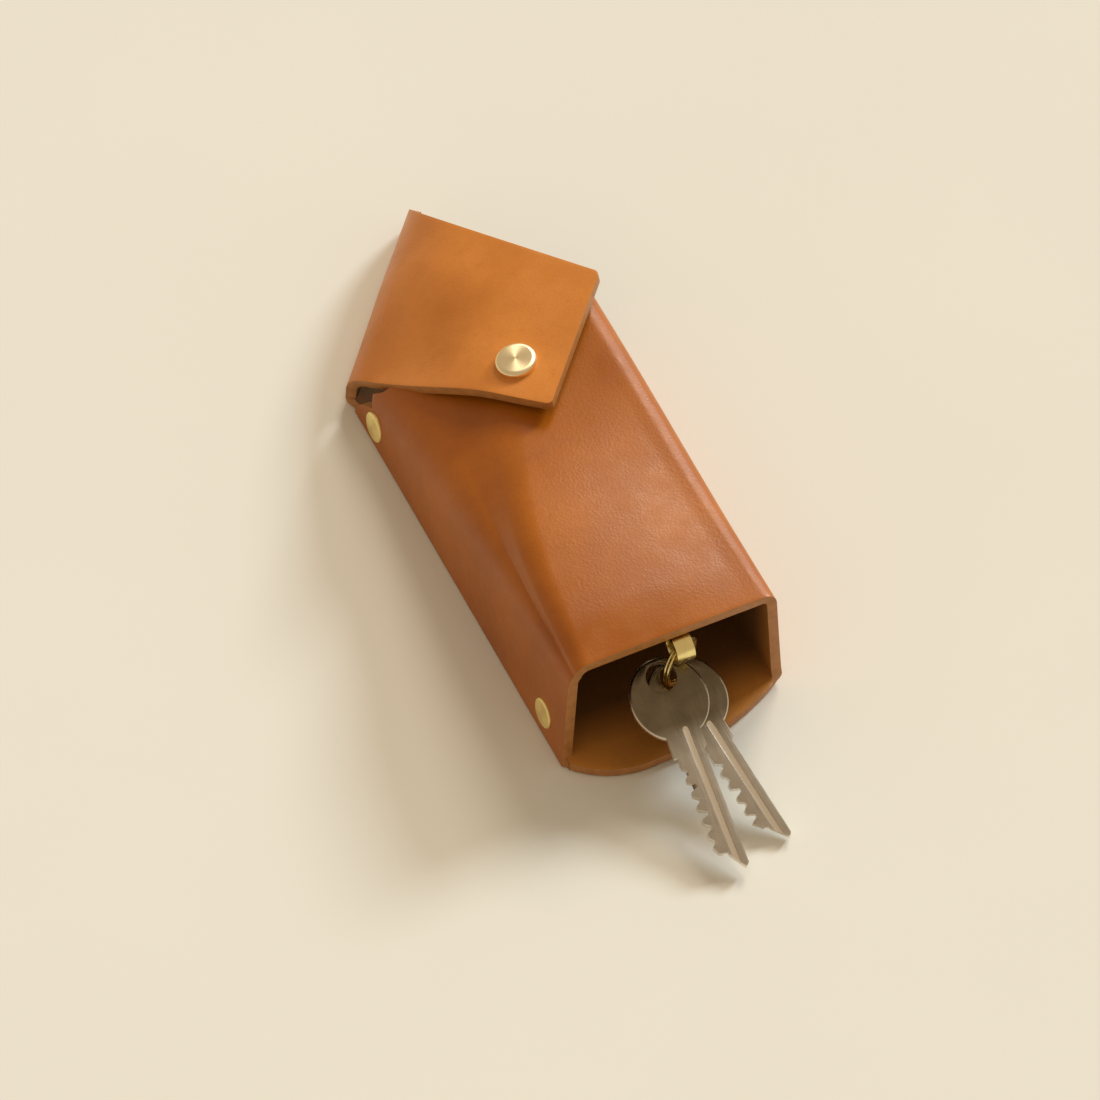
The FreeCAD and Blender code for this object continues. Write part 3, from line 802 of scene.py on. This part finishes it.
FOLD_ORIGIN = Vector(JOINTS["flap_fold"]["pos_m"])
FOLD_ALONG = -Vector(JOINTS["flap_fold"]["axis"]).normalized()
FOLD_INWARD = Vector((FOLD_ALONG.y, -FOLD_ALONG.x, 0.0))
FLAP_LEG = 6.44 * MM
# Arcs of the flap over the far end: outer radii, and turns in degrees
FLAP_RADII = (15.0 * MM, 56.0 * MM, 80.0 * MM)
FLAP_TURNS = (48.0, 20.0, 12.0)
FLAP_REACH = 53.3 * MM
# Left side, as places along the fold: at the leg and at the tip, its bow, and at the table
FLAP_LEFT = (0.2 * MM, -11.6 * MM)
FLAP_LEFT_BOW = 2.8 * MM
FLAP_LEFT_LOW = -0.8 * MM
# Right side: place at the table, rounding up the leg, and retreat by reach and by height
FLAP_RIGHT_START = 54.8 * MM
FLAP_RIGHT_ROUND = 0.9 * MM
FLAP_RIGHT_SLOPES = (0.09, 0.69)
FLAP_CORNER = 1.3 * MM
# Lowering of the left side as a share of the height, and how far it goes inward and along
SAG = 0.34
SAG_REACH = 40.0 * MM
SAG_SPAN = 34.0 * MM
# Rows of the flap's sheet on the panel, on the fold, on each arc and on the tip
PANEL_ROWS = 5
FOLD_ROWS = 12
ARC_ROWS = 14
TIP_ROWS = 20
RIGHT_ANGLE = math.radians(90.0)
PANEL_JOIN = 6.0 * MM
PANEL_SIDE = 29.5 * MM
PANEL_LEFT = -2.9 * MM


def on_fold(reach, along, height):
    """Point at a reach inward from the fold axis, along the fold and above the table."""
    base = FOLD_ORIGIN + FOLD_INWARD * reach + FOLD_ALONG * along
    return Vector((base.x, base.y, height))


def flap_profile():
    """Outer points and inward normals from the back panel, round the fold to the tip."""
    half = sizes().leather / 2
    radius = sizes().fold_radius
    rows = []
    for share in spread(0.0, 1.0, PANEL_ROWS)[:-1]:
        rows.append((Vector((PANEL_JOIN + (radius - half - PANEL_JOIN) * share, 0.0)),
                     Vector((0.0, 1.0))))
    centre = Vector((radius - half, radius))
    for share in spread(0.0, 1.0, FOLD_ROWS):
        angle = RIGHT_ANGLE * share
        away = Vector((-math.sin(angle), -math.cos(angle)))
        rows.append((centre + away * radius, -away))
    point = Vector((-half, FLAP_LEG))
    heading = RIGHT_ANGLE
    for arc, turn in zip(FLAP_RADII, FLAP_TURNS):
        normal = Vector((math.sin(heading), -math.cos(heading)))
        centre = point + normal * arc
        first = 0 if arc == FLAP_RADII[0] else 1
        for share in spread(0.0, 1.0, ARC_ROWS)[first:]:
            angle = heading - math.radians(turn) * share
            normal = Vector((math.sin(angle), -math.cos(angle)))
            rows.append((centre - normal * arc, normal))
        heading -= math.radians(turn)
        normal = Vector((math.sin(heading), -math.cos(heading)))
        point = centre - normal * arc
    ahead = Vector((math.cos(heading), math.sin(heading)))
    length = (FLAP_REACH - point.x) / ahead.x
    for share in spread(0.0, 1.0, TIP_ROWS)[1:]:
        rows.append((point + ahead * length * (1.0 - (1.0 - share) ** 2), normal))
    return rows


def flap_sides(reach, height):
    """Left and right ends of the flap at a reach from the axis and a height."""
    half = sizes().leather / 2
    if height < FLAP_LEG:
        on_table = height < sizes().fold_radius / 2
        share = (reach + half) / (PANEL_JOIN + half) if on_table else 0.0
        left = FLAP_LEFT_LOW + (PANEL_LEFT - FLAP_LEFT_LOW) * share
        left += (FLAP_LEFT[0] - FLAP_LEFT_LOW) * ease(height / FLAP_LEG)
        return left, FLAP_RIGHT_START - FLAP_RIGHT_ROUND * (height / FLAP_LEG) ** 2
    share = (reach + half) / (FLAP_REACH + half)
    left = FLAP_LEFT[0] + (FLAP_LEFT[1] - FLAP_LEFT[0]) * share
    left -= FLAP_LEFT_BOW * math.sin(math.pi * share)
    by_reach, by_height = FLAP_RIGHT_SLOPES
    right = FLAP_RIGHT_START - FLAP_RIGHT_ROUND - by_reach * (reach + half)
    right -= by_height * (height - FLAP_LEG)
    return left, right


def sag(reach, side):
    """Factor on the flap's height, lower towards its left side, where it lies on the slope."""
    half = sizes().leather / 2
    flat = 1.0 - ease((reach + half) / (SAG_REACH + half))
    return 1.0 - SAG * flat * (1.0 - ease(side / SAG_SPAN))


FLAP_COLUMNS = 44


def build_flap():
    """The flap with its fold and a strip of the back panel, as one bending sheet."""
    outer = []
    inner = []
    for point, normal in flap_profile():
        left, right = flap_sides(point.x, point.y)
        gap = FLAP_REACH - point.x
        if point.y > FLAP_LEG and gap < FLAP_CORNER:
            rest = FLAP_CORNER ** 2 - (FLAP_CORNER - gap) ** 2
            trim = FLAP_CORNER - math.sqrt(max(rest, 0.0))
            left, right = left + trim, right - trim
        outer_row = []
        inner_row = []
        for along in spread(left, right, FLAP_COLUMNS):
            low = point.y * sag(point.x, along - left)
            outer_row.append(on_fold(point.x, along, low))
            end = normal * sizes().leather
            inner_row.append(on_fold(point.x + end.x, along, low + end.y))
        outer.append(outer_row)
        inner.append(inner_row)
    made = leather_sheet("leather_flap", outer, inner, "flap_leather_painted_lighter", ("start",))
    round_edges(made, sizes().edge_round, LEATHER_ROUNDING)
    return made


# Sides of the panel's plan that meet the tube and the fold, and so have no cut edge
PANEL_OPEN = (0, 3)


def build_panel():
    """Flat back panel between the tube's far end and the fold."""
    thick = sizes().leather
    length = sizes().length
    left = wall_x(0.0, thick + sizes().lap_gap)
    right = sizes().width / 2 - PANEL_FOLD
    corner = on_fold(PANEL_JOIN, PANEL_LEFT, 0.0)
    high = on_fold(PANEL_JOIN, FLAP_RIGHT_START, 0.0)
    plan = [Vector((left, length, 0.0)), Vector((right, length, 0.0)),
            Vector((right, length + PANEL_SIDE, 0.0)), high, corner]
    if corner.x > left:
        plan.append(Vector((left, corner.y - (corner.x - left), 0.0)))
    count = len(plan)
    vertices = plan + [p + Vector((0.0, 0.0, thick)) for p in plan]
    faces = [tuple(reversed(range(count))), tuple(range(count, 2 * count))]
    indices = [GRAIN, FLESH]
    for index in range(count):
        if index in PANEL_OPEN:
            continue
        after = (index + 1) % count
        faces.append((index, after, count + after, count + index))
        indices.append(EDGE)
    made = mesh_object("leather_back_panel", vertices, faces, ["leather", "edge", "flesh"],
                       indices)
    round_edges(made, sizes().edge_round, LEATHER_ROUNDING)
    return made


class CASE_OT_leather(bpy.types.Operator):
    """Build the leather tube, the back panel and the folding flap"""
    bl_idname = "case.leather"
    bl_label = "Leather"

    def execute(self, context):
        tube = build_tube()
        panel = build_panel()
        flap = build_flap()
        for made in (tube, panel):
            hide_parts("case_body")
            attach(made, "case")
        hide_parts("flap")
        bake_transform(flap)
        return {"FINISHED"}


METAL_ROUND = 0.15 * MM
LATHE_STEPS = 96
TURNED_SHARP_ANGLE = 50.0
RIM_TOLERANCE = 0.01 * MM
MERGE_DISTANCE = 0.001 * MM
FLAT_ANGLE = 1.0
FLAP_HEADING = math.radians(90.0 - sum(FLAP_TURNS))
SNAP_AXIS = Vector((0.0, 0.0, math.cos(FLAP_HEADING))) - FOLD_INWARD * math.sin(FLAP_HEADING)


def top_centre(node, axis):
    """Middle of a round CAD node's end face in the direction of its axis."""
    points = [vertex.co for vertex in frame["nodes"][node].data.vertices]
    top = max(point.dot(axis) for point in points)
    rim = [point for point in points if point.dot(axis) > top - RIM_TOLERANCE]
    return sum(rim, Vector()) / len(rim)


def lathe(name, profile, origin, axis, finish):
    """Turned piece; profile holds radius and depth below the origin, from axis to axis."""
    vertices = []
    rings = []
    for radius, depth in profile:
        count = 1 if radius == 0.0 else LATHE_STEPS
        rings.append(range(len(vertices), len(vertices) + count))
        for step in range(count):
            angle = 2 * math.pi * step / count
            vertices.append((radius * math.cos(angle), radius * math.sin(angle), -depth))
    faces = []
    for upper, lower in zip(rings, rings[1:]):
        for step in range(LATHE_STEPS):
            quad = [upper[step % len(upper)], lower[step % len(lower)],
                    lower[(step + 1) % len(lower)], upper[(step + 1) % len(upper)]]
            faces.append(list(dict.fromkeys(quad)))
    made = mesh_object(name, vertices, faces, [finish])
    made.data.set_sharp_from_angle(angle=math.radians(TURNED_SHARP_ANGLE))
    turn = axis.to_track_quat("Z", "Y").to_matrix().to_4x4()
    made.matrix_world = Matrix.Translation(origin) @ turn
    return made


def refined(name, node, width, finish, place=Matrix.Identity(4)):
    """Copy of a CAD node with joined facets and rounded edges, drawn in its own frame."""
    mesh = bmesh.new()
    mesh.from_mesh(frame["nodes"][node].data)
    bmesh.ops.remove_doubles(mesh, verts=mesh.verts, dist=MERGE_DISTANCE)
    bmesh.ops.dissolve_limit(mesh, angle_limit=math.radians(FLAT_ANGLE), verts=mesh.verts,
                             edges=mesh.edges)
    bmesh.ops.transform(mesh, matrix=place.inverted(), verts=mesh.verts)
    data = bpy.data.meshes.new(name)
    mesh.to_mesh(data)
    mesh.free()
    data.materials.append(material(finish))
    made = bpy.data.objects.new(name, data)
    bpy.context.scene.collection.objects.link(made)
    made.matrix_world = place
    round_edges(made, width, METAL_ROUNDING)
    return made


def fit(made, node, body):
    """Let a piece stand for a CAD node on a body."""
    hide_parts(node)
    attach(made, body)


CROWN_MID = 0.5
CROWN_ROWS = 9


def crown(radius, height, edge, dish):
    """Profile of a low head: almost flat on top, with a rounded edge."""
    profile = [(0.0, 0.0), ((radius - edge) * CROWN_MID, dish * CROWN_MID ** 2),
               (radius - edge, dish)]
    for share in spread(0.0, 1.0, CROWN_ROWS)[1:]:
        angle = RIGHT_ANGLE * share
        profile.append((radius - edge + edge * math.sin(angle),
                        dish + (edge - dish) * (1 - math.cos(angle))))
    return profile + [(radius, height)]


CAP_EDGE = 1.1 * MM
CAP_DISH = 0.06 * MM
SHANK_RADIUS = 1.4 * MM


class CASE_OT_snap(bpy.types.Operator):
    """Build the press stud: cap, socket, spring, stud and post"""
    bl_idname = "case.snap"
    bl_label = "Press stud"

    def execute(self, context):
        size = sizes()
        bottom = size.cap_height + size.leather
        profile = crown(size.cap_radius, size.cap_height, CAP_EDGE, CAP_DISH)
        profile += [(SHANK_RADIUS, size.cap_height), (SHANK_RADIUS, bottom), (0.0, bottom)]
        cap = lathe("snap_cap_turned", profile, top_centre("snap_cap", SNAP_AXIS), SNAP_AXIS,
                    "cap_brass_painted_light")
        fit(cap, "snap_cap", "closing_flap")
        for node, body in (("snap_socket", "closing_flap"), ("snap_stud", "case"),
                           ("snap_post", "case")):
            fit(refined(node + "_rounded", node, METAL_ROUND, "brass"), node, body)
        spring = refined("snap_spring_rounded", "snap_spring", METAL_ROUND / 2, "nickel")
        fit(spring, "snap_spring", "closing_flap")
        return {"FINISHED"}


RIVET_EDGE = 0.55 * MM
RIVET_DISH = 0.12 * MM


class CASE_OT_rivets(bpy.types.Operator):
    """Build the two rivets of the seam"""
    bl_idname = "case.rivets"
    bl_label = "Rivets"

    def execute(self, context):
        size = sizes()
        lean = Vector((-1.0, 0.0, size.side_inset / size.height)).normalized()
        profile = crown(size.rivet_radius, size.rivet_height, RIVET_EDGE, RIVET_DISH)
        profile.append((0.0, size.rivet_height))
        for side in ("lower", "upper"):
            node = side + "_rivet_cap"
            cap = lathe(node + "_turned", profile, top_centre(node, lean), lean, "spun_brass")
            fit(cap, node, "case")
            node = side + "_rivet_post"
            fit(refined(node + "_rounded", node, METAL_ROUND, "brass"), node, "case")
        return {"FINISHED"}


class CASE_OT_hanger(bpy.types.Operator):
    """Build the hanger strip and the split ring"""
    bl_idname = "case.hanger"
    bl_label = "Hanger and ring"

    def execute(self, context):
        strip = refined("hanger_strip", "key_hanger", METAL_ROUND, "brass")
        fit(strip, "key_hanger", "case")
        ring = refined("split_ring_coil", "split_ring", METAL_ROUND / 2, "brass")
        fit(ring, "split_ring", "ring")
        return {"FINISHED"}


# Body of each key, and the turn of its own frame about the joint's axis, in degrees
KEYS = {"key_1": ("front_key", -3.4), "key_2": ("rear_key", 7.9)}


class CASE_OT_keys(bpy.types.Operator):
    """Build the two keys"""
    bl_idname = "case.keys"
    bl_label = "Keys"

    def execute(self, context):
        for node, (body, turn) in KEYS.items():
            joint = JOINTS[node + "_turn"]
            axis = Vector(joint["axis"]).normalized()
            tilt = math.atan2(-axis.y, axis.z)
            place = (Matrix.Translation(Vector(joint["pos_m"]))
                     @ Matrix.Rotation(tilt, 4, "X")
                     @ Matrix.Rotation(math.radians(turn), 4, "Z"))
            fit(refined(node + "_cut", node, METAL_ROUND, "nickel", place), node, body)
        return {"FINISHED"}


# Camera angles in degrees; the lens and the sensor in mm
CAMERA_AZIMUTH = -25.5
CAMERA_ELEVATION = 54.6
CAMERA_TARGET = Vector((-4.4, 56.6, 0.0)) * MM
CAMERA_LENS = 900.0
CAMERA_SENSOR = 36.0
VIEW_WIDTH = 261.9 * MM
CAMERA_FAR = 30.0
FLOOR_HALF = 3.0
FLOOR_GAP = 0.02 * MM
FLOOR_CLOUD = Pattern(9.0, 3.0, 0.3, 0.7, 0.0, 1.0)
FLOOR_DARK = 0.985
FLOOR_ROUGHNESS = 0.9
FLOOR_SPECULAR = 0.1
ROOM_COLOUR = (1.0, 0.80, 0.58, 1.0)
ROOM_STRENGTH = 0.49
# Soft distant lights: direction to the source, strength, angle in degrees and colour
Window = namedtuple("Window", "name source energy angle colour")
WINDOWS = (
    Window("side_window", Vector((0.83, 0.32, 0.46)), 2.15, 14.0, (0.84, 0.93, 1.0)),
    Window("back_window", Vector((0.53, 0.56, 0.63)), 1.2, 20.0, (1.0, 0.90, 0.76)),
)


def add_floor():
    """Pale floor just below the part."""
    half = FLOOR_HALF
    floor = mesh_object("floor", [(-half, -half, 0.0), (half, -half, 0.0), (half, half, 0.0),
                                  (-half, half, 0.0)], [(0, 1, 2, 3)], [])
    shader = Shader("floor_paper")
    tone = colours().floor
    base = shader.mix(shader.spots(FLOOR_CLOUD), shade(tone, FLOOR_DARK), tone)
    shader.link(base, shader.surface.inputs["Base Color"])
    shader.set(Roughness=FLOOR_ROUGHNESS, Specular_IOR_Level=FLOOR_SPECULAR)
    floor.data.materials.append(shader.material)
    floor.location.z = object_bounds()[0].z - FLOOR_GAP
    floor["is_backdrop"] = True


def add_window(window):
    """Soft distant light from a direction."""
    lamp = bpy.data.lights.new(window.name, "SUN")
    lamp.energy = window.energy
    lamp.angle = math.radians(window.angle)
    lamp.color = window.colour
    sun = bpy.data.objects.new(window.name, lamp)
    sun.rotation_euler = window.source.to_track_quat("Z", "Y").to_euler()
    bpy.context.scene.collection.objects.link(sun)


def add_camera():
    """Camera at the photograph's view, without depth of field."""
    lens = bpy.data.cameras.new("camera")
    lens.lens = CAMERA_LENS
    lens.sensor_width = CAMERA_SENSOR
    lens.clip_end = CAMERA_FAR
    lens.dof.use_dof = False
    camera = bpy.data.objects.new("camera", lens)
    azimuth = math.radians(CAMERA_AZIMUTH)
    elevation = math.radians(CAMERA_ELEVATION)
    away = Vector((math.sin(azimuth) * math.cos(elevation),
                   -math.cos(azimuth) * math.cos(elevation), math.sin(elevation)))
    camera.location = CAMERA_TARGET + away * (VIEW_WIDTH * CAMERA_LENS / CAMERA_SENSOR)
    camera.rotation_euler = away.to_track_quat("Z", "Y").to_euler()
    bpy.context.scene.collection.objects.link(camera)
    bpy.context.scene.camera = camera


class CASE_OT_stage(bpy.types.Operator):
    """Set the floor, the light and the camera"""
    bl_idname = "case.stage"
    bl_label = "Stage"

    def execute(self, context):
        scene = context.scene
        add_floor()
        world = bpy.data.worlds.new("soft_room")
        world.use_nodes = True
        sky = world.node_tree.nodes["Background"]
        sky.inputs["Color"].default_value = ROOM_COLOUR
        sky.inputs["Strength"].default_value = ROOM_STRENGTH
        scene.world = world
        for window in WINDOWS:
            add_window(window)
        add_camera()
        scene.view_settings.view_transform = "Standard"
        return {"FINISHED"}


class CASE_PT_panel(bpy.types.Panel):
    """Sidebar panel with the key case's sizes, colours and steps"""
    bl_idname = "CASE_PT_panel"
    bl_label = "Key Case"
    bl_space_type = "VIEW_3D"
    bl_region_type = "UI"
    bl_category = "Key Case"

    def draw(self, context):
        for group in (context.scene.case_sizes, context.scene.case_colours):
            column = self.layout.column(align=True)
            for name in group.bl_rna.properties.keys():
                if name not in ("rna_type", "name"):
                    column.prop(group, name)
        for step in STEPS:
            self.layout.operator(step.bl_idname)


STEPS = (CASE_OT_leather, CASE_OT_snap, CASE_OT_rivets, CASE_OT_hanger, CASE_OT_keys,
         CASE_OT_stage)
CLASSES = (CaseSizes, CaseColours) + STEPS + (CASE_PT_panel,)


def register():
    for item in CLASSES:
        bpy.utils.register_class(item)
    bpy.types.Scene.case_sizes = bpy.props.PointerProperty(type=CaseSizes)
    bpy.types.Scene.case_colours = bpy.props.PointerProperty(type=CaseColours)


def unregister():
    del bpy.types.Scene.case_sizes
    del bpy.types.Scene.case_colours
    for item in reversed(CLASSES):
        bpy.utils.unregister_class(item)


def main():
    register()
    bpy.ops.case.leather()
    bpy.ops.case.snap()
    bpy.ops.case.rivets()
    bpy.ops.case.hanger()
    bpy.ops.case.keys()
    bpy.ops.case.stage()


if __name__ == "__main__":
    main()
